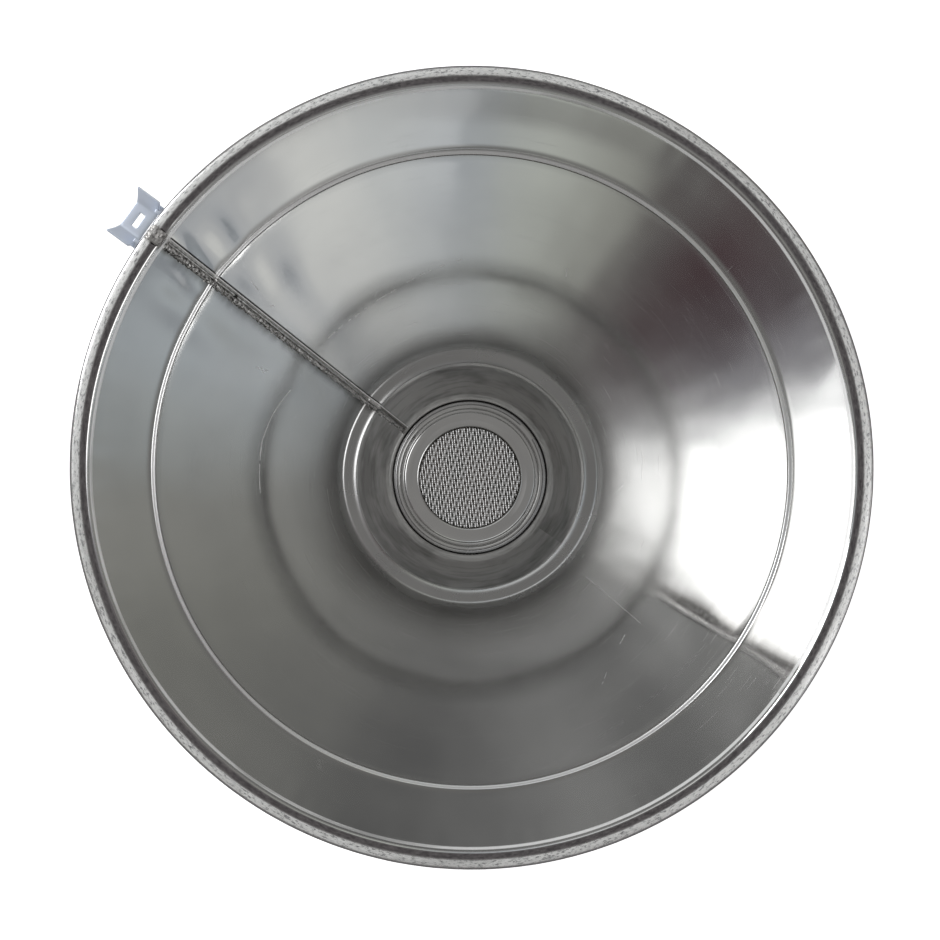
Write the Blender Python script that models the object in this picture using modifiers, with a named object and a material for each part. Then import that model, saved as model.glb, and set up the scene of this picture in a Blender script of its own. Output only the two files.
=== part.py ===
"""Double sieve strainer: a seamed sheet-steel funnel with a wired rim, a neck and a round
sieve seat, in which two sieves lie under a split spring ring.

+Z is up, and the seam and the hanger bracket are on the +X side. Every piece is modelled about the
funnel's own axis and hangs from one empty, which moves that axis aside so that the origin is at the
middle of the base of the whole object, bracket included. Sizes are in metres.
"""

from math import cos, pi, radians, sin, tan

import bmesh
import bpy
from mathutils import Matrix, Vector

MM = 0.001

# Driving dimensions
HEIGHT = 195 * MM
RIM_DIAMETER = 300 * MM
SHEET = 0.8 * MM
SIEVE_SHEET = 0.6 * MM
GAP = 0.35 * MM
SIDES = 48

ROLL_RADIUS = 4.0 * MM
ROLL_OPENING = radians(120)
BAND_SLOPE = radians(62)
RIDGE_HEIGHT = 164.4 * MM
RIDGE_WIDTH = 4.2 * MM
RIDGE_RISE = 1.1 * MM

SHOULDER_RADIUS = 67.7 * MM
SHOULDER_HEIGHT = 57 * MM
SHOULDER_FILLET = 4.5 * MM
LEDGE_RADIUS = 60.6 * MM
LEDGE_HEIGHT = 56.5 * MM

NECK_TOP = (60.3 * MM, 54.5 * MM)
NECK_BOTTOM = (44.4 * MM, 28.2 * MM)

SEAT_RADIUS = 43.9 * MM
SEAT_TOP = 27.3 * MM
SEAT_FLOOR = 18.4 * MM
SEAT_OPENING = 37.5 * MM
SPIGOT_RADIUS = 40.8 * MM
FOOT_RADIUS = 44.0 * MM

SIEVE_RADIUS = 43.1 * MM
MESH_OPENING = 29.1 * MM
MESH_RADIUS = 31.8 * MM
MESH_THICKNESS = 0.5 * MM
SPACER_WIDTH = 2.4 * MM
SPACER_HEIGHT = 3.3 * MM
SPRING_WIRE = 2.3 * MM
SPRING_RADIUS = 42.3 * MM
SPRING_GAP_START = radians(-112.2)
SPRING_GAP_END = radians(-97.7)

STRIP_WIDTH = 2.5 * MM
STRIP_THICKNESS = 0.8 * MM
WELD_RADIUS = 0.85 * MM
SEAM_CLEARANCE = 0.5 * MM

BRACKET_INNER = 152.6 * MM
BRACKET_OUTER = 162.8 * MM
BRACKET_HEIGHT = 184.5 * MM
BRACKET_HALF_WIDTH = 10.0 * MM
BRACKET_FLAT = 6.2 * MM
BRACKET_FLARE = 5.2 * MM
BRACKET_SLOT = (2.3 * MM, 5.8 * MM)
BRACKET_SHIFT = -0.9 * MM
BRACKET_LEG_WIDTH = 3.4 * MM
BRACKET_LEG_PLACE = 7.8 * MM

POLISHED = ("polished_steel", (0.62, 0.62, 0.61), 0.18)
SATIN = ("satin_steel", (0.56, 0.56, 0.55), 0.32)
WOVEN = ("woven_wire", (0.48, 0.46, 0.43), 0.42)
WELD_METAL = ("weld_metal", (0.36, 0.35, 0.34), 0.55)
SPRING_STEEL = ("spring_steel", (0.50, 0.50, 0.50), 0.25)


def clear_scene():
    for obj in list(bpy.data.objects):
        bpy.data.objects.remove(obj, do_unlink=True)


def new_collection(name):
    collection = bpy.data.collections.new(name)
    bpy.context.scene.collection.children.link(collection)
    return collection


def metal(name, finish):
    """A material of the piece's own, with one of the finishes above."""
    label, colour, roughness = finish
    material = bpy.data.materials.new(f"{name}_{label}")
    material.use_nodes = True
    shader = material.node_tree.nodes["Principled BSDF"]
    shader.inputs["Base Color"].default_value = (*colour, 1.0)
    shader.inputs["Metallic"].default_value = 1.0
    shader.inputs["Roughness"].default_value = roughness
    return material


def add_axis():
    """The empty on the funnel's axis, from which every piece hangs."""
    axis = bpy.data.objects.new("funnel_axis", None)
    PARTS.objects.link(axis)
    axis.location.x = -(BRACKET_OUTER - RIM_DIAMETER / 2) / 2
    return axis


def add_piece(name, data, finish):
    piece = bpy.data.objects.new(name, data)
    PARTS.objects.link(piece)
    piece.parent = AXIS
    data.materials.append(metal(name, finish))
    return piece


def add_cutter(name, mesh):
    cutter = bpy.data.objects.new(name, mesh)
    CUTTERS.objects.link(cutter)
    cutter.parent = AXIS
    cutter.hide_render = True
    cutter.display_type = "WIRE"
    return cutter


# Outlines in the half plane of radius and height, run from top to bottom on the outer side


def arc(centre, radius, start, end, steps):
    angles = [start + (end - start) * i / steps for i in range(steps + 1)]
    return [(centre[0] + radius * cos(a), centre[1] + radius * sin(a)) for a in angles]


def fillet(before, corner, after, radius, steps):
    """The arc that rounds a corner between two straight runs."""
    point = Vector(corner)
    first = (Vector(before) - point).normalized()
    second = (Vector(after) - point).normalized()
    half_angle = first.angle(second) / 2
    middle = point + (first + second).normalized() * radius / sin(half_angle)
    start = point + first * radius / tan(half_angle) - middle
    end = point + second * radius / tan(half_angle) - middle
    spokes = [start.slerp(end, i / steps).normalized() for i in range(steps + 1)]
    return [tuple(middle + spoke * radius) for spoke in spokes]


def offset(path, distance):
    """The path moved sideways, to the inside of the turned piece where distance is positive."""
    points = [Vector(p) for p in path]
    sides = []
    for a, b in zip(points, points[1:]):
        along = (b - a).normalized()
        sides.append(Vector((along.y, -along.x)))
    moved = []
    for i, point in enumerate(points):
        before = sides[max(i - 1, 0)]
        after = sides[min(i, len(sides) - 1)]
        mitre = (before + after).normalized()
        moved.append(tuple(point + mitre * distance / mitre.dot(before)))
    return moved


# Makers of solids


def turned(name, path, finish, closed=False):
    """A piece turned about Z from its outline, which is left as an open mesh line for Screw."""
    mesh = bpy.data.meshes.new(name)
    edges = [(i, i + 1) for i in range(len(path) - 1)]
    if closed:
        edges.append((len(path) - 1, 0))
    mesh.from_pydata([(r, 0, z) for r, z in path], edges, [])
    piece = add_piece(name, mesh, finish)
    screw = piece.modifiers.new("Turn", "SCREW")
    screw.axis = "Z"
    screw.steps = SIDES
    screw.render_steps = SIDES
    screw.use_merge_vertices = True
    screw.merge_threshold = 0.00001
    screw.use_smooth_shade = True
    return piece


def thicken(piece, thickness):
    solidify = piece.modifiers.new("Sheet", "SOLIDIFY")
    solidify.thickness = thickness
    solidify.offset = 0
    solidify.use_even_offset = True
    return piece


def turned_sheet(name, path, thickness, finish):
    return thicken(turned(name, path, finish), thickness)


def flat_ring(name, inner, outer, bottom, top, finish):
    corners = [(outer, top), (outer, bottom), (inner, bottom), (inner, top)]
    return turned(name, corners, finish, closed=True)


def folded_sheet(name, path, across, thickness, finish):
    """A strip of sheet: the path swept along a straight line, then given its thickness."""
    mesh = bpy.data.meshes.new(name)
    near = [Vector(p) for p in path]
    count = len(near)
    points = near + [p + across for p in near]
    faces = [(i, i + 1, count + i + 1, count + i) for i in range(count - 1)]
    mesh.from_pydata(points, [], faces)
    return thicken(add_piece(name, mesh, finish), thickness)


def wire(name, points, radius, finish, sides=2):
    """A wire through the points, with closed ends."""
    curve = bpy.data.curves.new(name, "CURVE")
    curve.dimensions = "3D"
    curve.bevel_depth = radius
    curve.bevel_resolution = sides
    curve.use_fill_caps = True
    spline = curve.splines.new("POLY")
    spline.points.add(len(points) - 1)
    for target, point in zip(spline.points, points):
        target.co = (*point, 1)
    return add_piece(name, curve, finish)


def lump(name, centre, radii, tilt, finish):
    """A small rounded blob of weld metal, tilted about Y."""
    mesh = bpy.data.meshes.new(name)
    shape = bmesh.new()
    bmesh.ops.create_uvsphere(shape, u_segments=12, v_segments=8, radius=1)
    bmesh.ops.scale(shape, vec=radii, verts=shape.verts)
    shape.to_mesh(mesh)
    shape.free()
    piece = add_piece(name, mesh, finish)
    piece.location = centre
    piece.rotation_euler = (0, tilt, 0)
    return piece


def cut(piece, cutter):
    boolean = piece.modifiers.new("Cut", "BOOLEAN")
    boolean.operation = "DIFFERENCE"
    boolean.object = cutter
    return piece


def join(piece, other):
    """Makes the other piece part of this one."""
    boolean = piece.modifiers.new("Join", "BOOLEAN")
    boolean.operation = "UNION"
    boolean.object = other
    PARTS.objects.unlink(other)
    CUTTERS.objects.link(other)
    other.hide_render = True
    other.display_type = "WIRE"


# The inner face of the funnel, from the rim down

ROLL_MIDDLE = (RIM_DIAMETER / 2 - ROLL_RADIUS, HEIGHT - ROLL_RADIUS)
WALL_TOP = (ROLL_MIDDLE[0] - ROLL_RADIUS, ROLL_MIDDLE[1])
RIDGE = (WALL_TOP[0] - (WALL_TOP[1] - RIDGE_HEIGHT) / tan(BAND_SLOPE), RIDGE_HEIGHT)
SHOULDER = (SHOULDER_RADIUS, SHOULDER_HEIGHT)
LEDGE_END = (LEDGE_RADIUS, LEDGE_HEIGHT)


def ridge_points(steps=4):
    """The swaged ridge, which stands into the funnel as a smooth hump."""
    points = []
    for i in range(steps + 1):
        along = (i / steps - 0.5) * RIDGE_WIDTH
        rise = RIDGE_RISE * cos(pi * along / RIDGE_WIDTH) ** 2
        radius = RIDGE[0] - along * cos(BAND_SLOPE) - rise * sin(BAND_SLOPE)
        height = RIDGE[1] - along * sin(BAND_SLOPE) + rise * cos(BAND_SLOPE)
        points.append((radius, height))
    return points


def funnel_cone():
    """The wall, with the rim rolled round its wire and the shoulder turned in at the bottom."""
    middle_radius = ROLL_RADIUS - SHEET / 2
    roll = arc(ROLL_MIDDLE, middle_radius, -ROLL_OPENING, pi, 8)
    shoulder = fillet(RIDGE, SHOULDER, LEDGE_END, SHOULDER_FILLET, 3)
    inner_face = [*ridge_points(), *shoulder, LEDGE_END]
    turned_sheet("funnel_cone", roll + offset(inner_face, -SHEET / 2), SHEET, POLISHED)


def rim_wire():
    radius = ROLL_RADIUS - SHEET - GAP
    circle = arc(ROLL_MIDDLE, radius, pi, -pi, 8)[:-1]
    turned("rim_wire", circle, SATIN, closed=True)


def neck_cone():
    """The neck, whose top flange lies under the shoulder's ledge."""
    step = SHEET + GAP
    under_ledge = offset([SHOULDER, LEDGE_END], -step)
    flange_end = Vector(under_ledge[0]).lerp(Vector(under_ledge[1]), 0.3)
    corner = (NECK_TOP[0] + 0.6 * MM, NECK_TOP[1] + 0.9 * MM)
    bend = fillet(tuple(flange_end), corner, NECK_BOTTOM, 1.2 * MM, 2)
    inner_face = [tuple(flange_end), *bend, NECK_BOTTOM]
    turned_sheet("neck_cone", offset(inner_face, -SHEET / 2), SHEET, POLISHED)


def sieve_seat():
    """The cup under the neck, with the flat ledge that carries the sieves."""
    radius = SEAT_RADIUS + SHEET / 2
    floor = SEAT_FLOOR - SHEET / 2
    top = (radius, SEAT_TOP)
    edge = (SEAT_OPENING, floor)
    path = [top, *fillet(top, (radius, floor), edge, 0.8 * MM, 2), edge]
    turned_sheet("sieve_seat", path, SHEET, POLISHED)


def outlet_spigot():
    """The outlet pipe, with a foot turned out at its lower end."""
    radius = SPIGOT_RADIUS - SHEET / 2
    top = (radius, SEAT_FLOOR - SHEET - GAP)
    foot = (FOOT_RADIUS, SHEET / 2)
    path = [top, *fillet(top, (radius, SHEET / 2), foot, 1.2 * MM, 2), foot]
    turned_sheet("outlet_spigot", path, SHEET, SATIN)


# The two sieves and what holds them. Heights are those of the middle of the sheet.

FINE_FLANGE = SEAT_FLOOR + GAP + SIEVE_SHEET / 2
SPACER_BOTTOM = FINE_FLANGE + SIEVE_SHEET / 2 + GAP
COARSE_FLANGE = SPACER_BOTTOM + SPACER_HEIGHT + GAP + SIEVE_SHEET / 2
SPRING_HEIGHT = COARSE_FLANGE + SIEVE_SHEET / 2 + GAP + SPRING_WIRE / 2
COARSE_LIP = COARSE_FLANGE - 1.6 * MM
FINE_LIP = FINE_FLANGE - 3.9 * MM


def coarse_sieve_frame():
    """The upper frame: a flange, a raised bead, and a slope down to the mesh."""
    bead_radius = 38.0 * MM
    bead_top = COARSE_FLANGE + 2.0 * MM
    bead = arc((bead_radius, bead_top), 0.8 * MM, 0, pi, 3)
    path = [
        (SIEVE_RADIUS, COARSE_FLANGE),
        (bead_radius + 1.6 * MM, COARSE_FLANGE),
        *bead,
        (bead_radius - 1.2 * MM, COARSE_FLANGE + 1.0 * MM),
        (MESH_RADIUS + 0.8 * MM, COARSE_LIP + 0.3 * MM),
        (MESH_OPENING, COARSE_LIP),
    ]
    turned_sheet("coarse_sieve_frame", path, SIEVE_SHEET, POLISHED)


def fine_sieve_frame():
    """The lower frame, dished down through the opening of the seat."""
    path = [
        (SIEVE_RADIUS, FINE_FLANGE),
        (SEAT_OPENING - 0.4 * MM, FINE_FLANGE),
        (SEAT_OPENING - 1.6 * MM, FINE_FLANGE - 0.8 * MM),
        (MESH_RADIUS + 0.8 * MM, FINE_LIP + 0.3 * MM),
        (MESH_OPENING, FINE_LIP),
    ]
    turned_sheet("fine_sieve_frame", path, SIEVE_SHEET, SATIN)


def square_holes(name, pitch, hole, height):
    """The cutter for a mesh: every square of the grid that lies inside the frame's opening."""
    shape = bmesh.new()
    reach = int(MESH_OPENING / pitch) + 1
    for column in range(-reach, reach + 1):
        for row in range(-reach, reach + 1):
            middle = Vector((column * pitch, row * pitch, height))
            if Vector(middle.xy).length + hole * 0.75 > MESH_OPENING:
                continue
            place = Matrix.Translation(middle)
            size = Matrix.Diagonal((hole, hole, 4 * MESH_THICKNESS, 1))
            bmesh.ops.create_cube(shape, size=1, matrix=place @ size)
    mesh = bpy.data.meshes.new(name)
    shape.to_mesh(mesh)
    shape.free()
    return add_cutter(name, mesh)


def sieve_mesh(name, lip, pitch, hole):
    """The wire cloth under the frame's lip, as a thin disc with square holes."""
    height = lip - SIEVE_SHEET / 2 - GAP - MESH_THICKNESS / 2
    shape = bmesh.new()
    bmesh.ops.create_cone(
        shape,
        cap_ends=True,
        segments=SIDES,
        radius1=MESH_RADIUS,
        radius2=MESH_RADIUS,
        depth=MESH_THICKNESS,
        matrix=Matrix.Translation((0, 0, height)),
    )
    mesh = bpy.data.meshes.new(name)
    shape.to_mesh(mesh)
    shape.free()
    piece = add_piece(name, mesh, WOVEN)
    cut(piece, square_holes(f"{name}_holes", pitch, hole, height))


def sieve_backing(name, lip):
    """The flat ring that clamps the wire cloth from below."""
    top = lip - SIEVE_SHEET / 2 - 2 * GAP - MESH_THICKNESS
    flat_ring(name, MESH_OPENING + 0.2 * MM, MESH_RADIUS + 0.3 * MM, top - SIEVE_SHEET, top, SATIN)


def spacer_ring():
    inner = SIEVE_RADIUS - SPACER_WIDTH
    flat_ring("spacer_ring", inner, SIEVE_RADIUS, SPACER_BOTTOM, SPACER_BOTTOM + SPACER_HEIGHT, SATIN)


def spring_ring(steps=36):
    """The split ring of round wire that holds the sieves down."""
    sweep = 2 * pi - (SPRING_GAP_END - SPRING_GAP_START)
    points = []
    for i in range(steps + 1):
        angle = SPRING_GAP_END + sweep * i / steps
        points.append((SPRING_RADIUS * cos(angle), SPRING_RADIUS * sin(angle), SPRING_HEIGHT))
    wire("spring_ring", points, SPRING_WIRE / 2, SPRING_STEEL, sides=1)


# The seam down the funnel: a lapped strip on one side and a weld bead on the other

BAND_SEAM = [
    (WALL_TOP[0] - 1.0 * MM / tan(BAND_SLOPE), WALL_TOP[1] - 1.0 * MM),
    (RIDGE[0] + 3.2 * MM * cos(BAND_SLOPE), RIDGE[1] + 3.2 * MM * sin(BAND_SLOPE)),
]
CONE_SEAM = [
    tuple(Vector(RIDGE).lerp(Vector(SHOULDER), 0.026)),
    tuple(Vector(RIDGE).lerp(Vector(SHOULDER), 0.965)),
]
NECK_SEAM = [
    tuple(Vector(LEDGE_END).lerp(Vector(SHOULDER), 0.6)),
    (LEDGE_END[0] - 0.2 * MM, LEDGE_END[1]),
    (NECK_TOP[0] - 0.6 * MM, NECK_TOP[1] - 0.9 * MM),
    tuple(Vector(NECK_BOTTOM).lerp(Vector(NECK_TOP), 0.16)),
]


def seam(place, inner_face):
    """One length of the seam, laid on the inner face of the wall."""
    strip_middle = offset(inner_face, SEAM_CLEARANCE + STRIP_THICKNESS / 2)
    strip_path = [(r, -0.1 * MM, z) for r, z in strip_middle]
    across = Vector((0, -STRIP_WIDTH, 0))
    folded_sheet(f"seam_strip_{place}", strip_path, across, STRIP_THICKNESS, POLISHED)
    bead_middle = offset(inner_face, SEAM_CLEARANCE + WELD_RADIUS)
    bead_side = WELD_RADIUS + 0.3 * MM
    bead_path = [(r, bead_side, z) for r, z in bead_middle]
    wire(f"seam_weld_{place}", bead_path, WELD_RADIUS, WELD_METAL, sides=1)


def rim_solder():
    """Solder over the joint in the rolled rim."""
    radius = ROLL_RADIUS + GAP + 0.3 * MM
    outline = arc(ROLL_MIDDLE, radius, radians(70), radians(168), 5)
    path = [(r, -2.6 * MM, z) for r, z in outline]
    folded_sheet("rim_solder", path, Vector((0, 5.0 * MM, 0)), 0.6 * MM, WELD_METAL)


def collar_solder():
    """The lump of solder where the seam reaches the sieve seat."""
    place = Vector(NECK_BOTTOM).lerp(Vector(NECK_TOP), 0.10)
    centre = (place.x - 1.1 * MM, 0.6 * MM, place.y + 0.7 * MM)
    lump("collar_solder", centre, (0.7 * MM, 2.2 * MM, 1.0 * MM), radians(34), WELD_METAL)


# The hanger bracket outside the rim


def bracket_leg(side, middle):
    """A leg from the bracket down to a foot on the outside of the wall."""
    wall_gap = SHEET + GAP + SHEET / 2
    foot_line = offset([WALL_TOP, RIDGE], -wall_gap)
    foot_top = Vector(foot_line[0]).lerp(Vector(foot_line[1]), 0.30)
    foot_end = Vector(foot_line[0]).lerp(Vector(foot_line[1]), 0.62)
    start = middle - BRACKET_LEG_WIDTH / 2
    height = BRACKET_HEIGHT + BRACKET_FLARE * 0.4
    path = [
        (BRACKET_INNER + 1.5 * MM, start, height),
        (BRACKET_INNER - 1.0 * MM, start, height),
        (foot_top.x, start, foot_top.y),
        (foot_end.x, start, foot_end.y),
    ]
    across = Vector((0, BRACKET_LEG_WIDTH, 0))
    leg = folded_sheet(f"bracket_leg_{side}", path, across, SHEET, POLISHED)
    spot = foot_top.lerp(foot_end, 0.55)
    out = Vector((sin(BAND_SLOPE), -cos(BAND_SLOPE))) * (SHEET / 2 + GAP + 0.4 * MM)
    centre = (spot.x + out.x, middle, spot.y + out.y)
    lump(f"bracket_weld_{side}", centre, (1.5 * MM, 1.3 * MM, 0.4 * MM), pi - BAND_SLOPE, WELD_METAL)
    return leg


def hanger_bracket():
    """A slotted plate with its two ends flared up, on two legs."""
    flat = BRACKET_FLAT
    end = BRACKET_HALF_WIDTH
    top = BRACKET_HEIGHT + BRACKET_FLARE
    section = [(-end, top), (-flat, BRACKET_HEIGHT), (flat, BRACKET_HEIGHT), (end, top)]
    path = [(BRACKET_INNER, y + BRACKET_SHIFT, z) for y, z in section]
    across = Vector((BRACKET_OUTER - BRACKET_INNER, 0, 0))
    bracket = folded_sheet("hanger_bracket", path, across, SHEET, POLISHED)
    slot = bpy.data.meshes.new("bracket_slot")
    shape = bmesh.new()
    centre = ((BRACKET_INNER + BRACKET_OUTER) / 2, BRACKET_SHIFT, BRACKET_HEIGHT)
    middle = Matrix.Translation(centre)
    size = Matrix.Diagonal((BRACKET_SLOT[0], BRACKET_SLOT[1], 4 * SHEET, 1))
    bmesh.ops.create_cube(shape, size=1, matrix=middle @ size)
    shape.to_mesh(slot)
    shape.free()
    cut(bracket, add_cutter("bracket_slot", slot))
    for side, sign in (("left", 1), ("right", -1)):
        join(bracket, bracket_leg(side, BRACKET_SHIFT + sign * BRACKET_LEG_PLACE))


clear_scene()
PARTS = new_collection("double_sieve_strainer")
CUTTERS = new_collection("cutters")
AXIS = add_axis()

funnel_cone()
rim_wire()
neck_cone()
sieve_seat()
outlet_spigot()
fine_sieve_frame()
sieve_mesh("fine_sieve_mesh", FINE_LIP, 7.4 * MM, 5.6 * MM)
sieve_backing("fine_sieve_backing", FINE_LIP)
spacer_ring()
coarse_sieve_frame()
sieve_mesh("coarse_sieve_mesh", COARSE_LIP, 9.8 * MM, 7.6 * MM)
sieve_backing("coarse_sieve_backing", COARSE_LIP)
spring_ring()
seam("band", BAND_SEAM)
seam("cone", CONE_SEAM)
seam("neck", NECK_SEAM)
rim_solder()
collar_solder()
hanger_bracket()
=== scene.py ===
"""Looks of the double sieve strainer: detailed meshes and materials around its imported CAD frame."""

import random
from math import atan2, cos, exp, hypot, pi, radians, sin, tan

import bpy
import numpy as np
from mathutils import Matrix, Vector, noise

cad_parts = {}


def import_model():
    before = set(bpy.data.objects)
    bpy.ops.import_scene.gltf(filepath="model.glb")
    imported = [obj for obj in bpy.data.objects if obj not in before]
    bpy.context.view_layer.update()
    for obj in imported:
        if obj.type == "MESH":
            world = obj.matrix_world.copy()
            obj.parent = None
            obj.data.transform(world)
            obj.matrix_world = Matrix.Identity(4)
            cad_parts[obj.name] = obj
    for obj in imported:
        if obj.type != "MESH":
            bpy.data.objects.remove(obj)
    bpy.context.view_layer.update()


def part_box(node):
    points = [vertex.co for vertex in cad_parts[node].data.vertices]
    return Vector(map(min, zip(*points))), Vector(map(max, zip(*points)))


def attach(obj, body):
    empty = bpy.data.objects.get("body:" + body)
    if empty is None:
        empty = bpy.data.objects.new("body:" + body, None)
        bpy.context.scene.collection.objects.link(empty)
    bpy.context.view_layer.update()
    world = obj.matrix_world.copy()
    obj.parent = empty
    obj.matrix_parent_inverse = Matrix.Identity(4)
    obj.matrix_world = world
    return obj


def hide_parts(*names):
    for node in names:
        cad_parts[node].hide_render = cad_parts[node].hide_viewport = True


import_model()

MM = 0.001


def box_middle(node):
    low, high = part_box(node)
    return [(low[i] + high[i]) / 2 for i in range(3)]


# Places and sizes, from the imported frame

AXIS_X, AXIS_Y, _ = box_middle("sieve_seat")
RIM_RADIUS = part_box("funnel_cone")[1][0] - AXIS_X
RIM_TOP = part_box("funnel_cone")[1][2]
SHEET = 0.8 * MM
SIEVE_SHEET = 0.6 * MM

ROLL_RADIUS = 4.0 * MM
ROLL = (RIM_RADIUS - ROLL_RADIUS, RIM_TOP - ROLL_RADIUS)
ROLL_CROWN = ROLL[1] + 1.6 * MM
BAND_SLOPE = radians(62)
WALL_TOP = (ROLL[0] - ROLL_RADIUS, ROLL[1])
RIDGE_HEIGHT = 164.9 * MM
RIDGE = (WALL_TOP[0] - (WALL_TOP[1] - RIDGE_HEIGHT) / tan(BAND_SLOPE), RIDGE_HEIGHT)
RIDGE_WIDTH = 2.6 * MM
RIDGE_RISE = 0.8 * MM
SHOULDER = (67.7 * MM, 57.0 * MM)
LEDGE_END = (60.6 * MM, 56.5 * MM)
NECK_TOP = (60.3 * MM, 54.5 * MM)
NECK_BOTTOM = (44.4 * MM, 28.2 * MM)

SIEVE_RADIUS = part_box("coarse_sieve_frame")[1][0] - AXIS_X
COARSE_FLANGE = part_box("coarse_sieve_backing")[1][2] + 3.1 * MM
FINE_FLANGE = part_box("fine_sieve_frame")[1][2] - SIEVE_SHEET / 2
MESH_OPENING = 29.1 * MM
MESH_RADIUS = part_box("coarse_sieve_mesh")[1][0] - AXIS_X

# The hand-made sheet isn't quite round: it peaks at the seam and waves a little

SEAM_PEAK = 0.7 * MM
SEAM_PEAK_SPREAD = radians(9)
OVAL = 0.25 * MM
WAVE = 0.10 * MM

SPRING_GAP = (radians(-112.2), radians(-97.7))


# The soft dents that the welding left beside the seam: degrees from it, height, depth and size in mm
DENTS = [
    (-3.2, 175.0, 0.45, 5.0),
    (-6.6, 170.5, -0.30, 5.0),
    (-10.0, 176.0, 0.22, 6.0),
    (4.4, 179.5, 0.42, 4.6),
    (7.0, 172.5, -0.28, 5.5),
    (3.2, 169.0, -0.30, 4.0),
    (-5.6, 152.0, 0.40, 6.0),
    (-8.2, 143.0, -0.30, 6.5),
    (-12.8, 131.0, 0.34, 7.0),
    (-4.2, 122.0, 0.26, 6.0),
    (-7.5, 100.0, -0.24, 7.0),
    (4.6, 150.0, 0.30, 6.0),
    (8.8, 158.0, -0.22, 7.0),
    (4.0, 129.0, 0.24, 6.0),
    (6.0, 108.0, -0.24, 7.0),
    (4.4, 88.0, 0.22, 6.0),
]


# Outlines in the half plane of radius and height


def arc(centre, radius, start, end, steps):
    angles = [start + (end - start) * i / steps for i in range(steps + 1)]
    return [(centre[0] + radius * cos(a), centre[1] + radius * sin(a)) for a in angles]


def fillet(before, corner, after, radius, steps=8):
    point = Vector(corner)
    first = (Vector(before) - point).normalized()
    second = (Vector(after) - point).normalized()
    half_angle = first.angle(second) / 2
    middle = point + (first + second).normalized() * radius / sin(half_angle)
    start = point + first * radius / tan(half_angle) - middle
    end = point + second * radius / tan(half_angle) - middle
    spokes = [start.slerp(end, i / steps).normalized() for i in range(steps + 1)]
    return [tuple(middle + spoke * radius) for spoke in spokes]


def offset(path, distance):
    """The path moved sideways, inwards where distance is positive and the path runs down."""
    points = [Vector(p) for p in path]
    sides = []
    for a, b in zip(points, points[1:]):
        along = (b - a).normalized()
        sides.append(Vector((along.y, -along.x)))
    moved = []
    for i, point in enumerate(points):
        before = sides[max(i - 1, 0)]
        after = sides[min(i, len(sides) - 1)]
        mitre = (before + after).normalized()
        moved.append(tuple(point + mitre * distance / mitre.dot(before)))
    return moved


def divided(path, longest):
    """The path with points added so that no run is longer than this."""
    points = [tuple(path[0])]
    for a, b in zip(path, path[1:]):
        steps = max(1, int(hypot(b[0] - a[0], b[1] - a[1]) / longest + 0.999))
        for i in range(1, steps + 1):
            points.append(tuple(Vector(a).lerp(Vector(b), i / steps)))
    return points


def sheet_loop(path, thickness):
    """The closed outline of a sheet along this path, with its two cut edges rounded."""
    half = thickness / 2
    outer = offset(path, -half)
    inner = offset(path, half)
    loop = list(outer)
    for end, previous in ((path[-1], path[-2]), (path[0], path[1])):
        out = (Vector(end) - Vector(previous)).normalized() * half * 0.6
        loop.append(tuple(Vector(end) + out))
        if end is path[-1]:
            loop.extend(reversed(inner))
    return loop


def rounded_section(corners, radius, steps=3):
    """A closed outline with every corner rounded."""
    loop = []
    for i, corner in enumerate(corners):
        before = corners[i - 1]
        after = corners[(i + 1) % len(corners)]
        loop.extend(fillet(before, corner, after, radius, steps))
    return loop


# Makers of meshes


def piece_from(name, points, faces, sharp=40):
    """A smooth-shaded piece from its points and faces."""
    mesh = bpy.data.meshes.new(name)
    mesh.from_pydata([tuple(p) for p in points], [], faces)
    mesh.validate()
    mesh.shade_smooth()
    mesh.set_sharp_from_angle(angle=radians(sharp))
    piece = bpy.data.objects.new(name, mesh)
    bpy.context.scene.collection.objects.link(piece)
    return piece


def even_turns(count):
    return [2 * pi * i / count for i in range(count)]


def turns_with_seam(count, fine=36):
    """Angles all round, closer together near the seam."""
    reach = radians(4)
    near = [reach * (2 * i / fine - 1) for i in range(fine)]
    rest = [reach + (2 * pi - 2 * reach) * i / count for i in range(count)]
    return near + rest


def turned(name, loop, angles, shift=None, sharp=40):
    """A closed outline turned about the funnel's axis. shift moves each point, given its angle."""
    count = len(loop)
    points = []
    for angle in angles:
        for radius, height in loop:
            if shift:
                radius, height = shift(angle, radius, height)
            points.append((AXIS_X + radius * cos(angle), AXIS_Y + radius * sin(angle), height))
    faces = []
    rounds = len(angles)
    for i in range(rounds):
        here = i * count
        there = (i + 1) % rounds * count
        for j in range(count):
            k = (j + 1) % count
            faces.append((here + j, here + k, there + k, there + j))
    return piece_from(name, points, faces, sharp)


def tube(name, points, radii, sides, sharp=60):
    """A round bar through the points, with its own radius at each, and capped ends."""
    made, faces = tube_parts(points, radii, sides)
    return piece_from(name, made, faces, sharp)


def tube_parts(points, radii, sides, first=0):
    points = [Vector(p) for p in points]
    made = []
    side = None
    for i, point in enumerate(points):
        ahead = points[min(i + 1, len(points) - 1)]
        behind = points[max(i - 1, 0)]
        along = (ahead - behind).normalized()
        if side is None:
            side = along.orthogonal().normalized()
        side = (side - along * side.dot(along)).normalized()
        other = along.cross(side)
        for j in range(sides):
            angle = 2 * pi * j / sides
            made.append(point + (side * cos(angle) + other * sin(angle)) * radii[i])
    faces = []
    for i in range(len(points) - 1):
        for j in range(sides):
            k = (j + 1) % sides
            a = first + i * sides
            faces.append((a + j, a + k, a + sides + k, a + sides + j))
    faces.append(tuple(first + j for j in reversed(range(sides))))
    last = first + (len(points) - 1) * sides
    faces.append(tuple(last + j for j in range(sides)))
    return made, faces


# How the wall departs from a true cone


def from_seam(angle):
    return (angle + pi) % (2 * pi) - pi


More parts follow.
